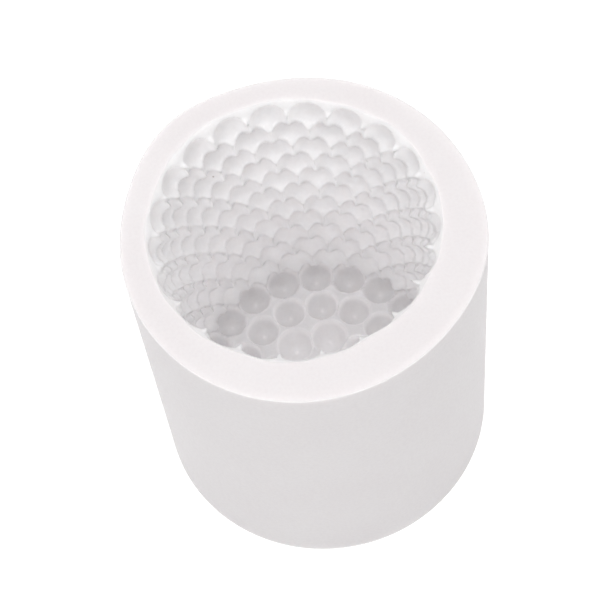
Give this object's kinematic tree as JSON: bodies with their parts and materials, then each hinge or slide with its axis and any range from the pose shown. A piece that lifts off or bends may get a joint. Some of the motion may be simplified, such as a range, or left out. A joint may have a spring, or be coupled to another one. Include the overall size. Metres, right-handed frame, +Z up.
{
  "type": "candle mould",
  "caption": "One-piece round silicone mould with a deep open cavity lined with staggered bead dimples, for casting a beaded pillar candle.",
  "frame": {"origin": "middle of the flat base that the mould stands on", "axes": "+Z up along the round block, out of the cavity's mouth; X and Y level, the camera side is -Y"},
  "size_m": [0.08, 0.08, 0.09],
  "materials": {
    "silicone": "satin, white and slightly translucent"
  },
  "bodies": {
    "root": {"mould_body": "silicone"}
  },
  "joints": []
}
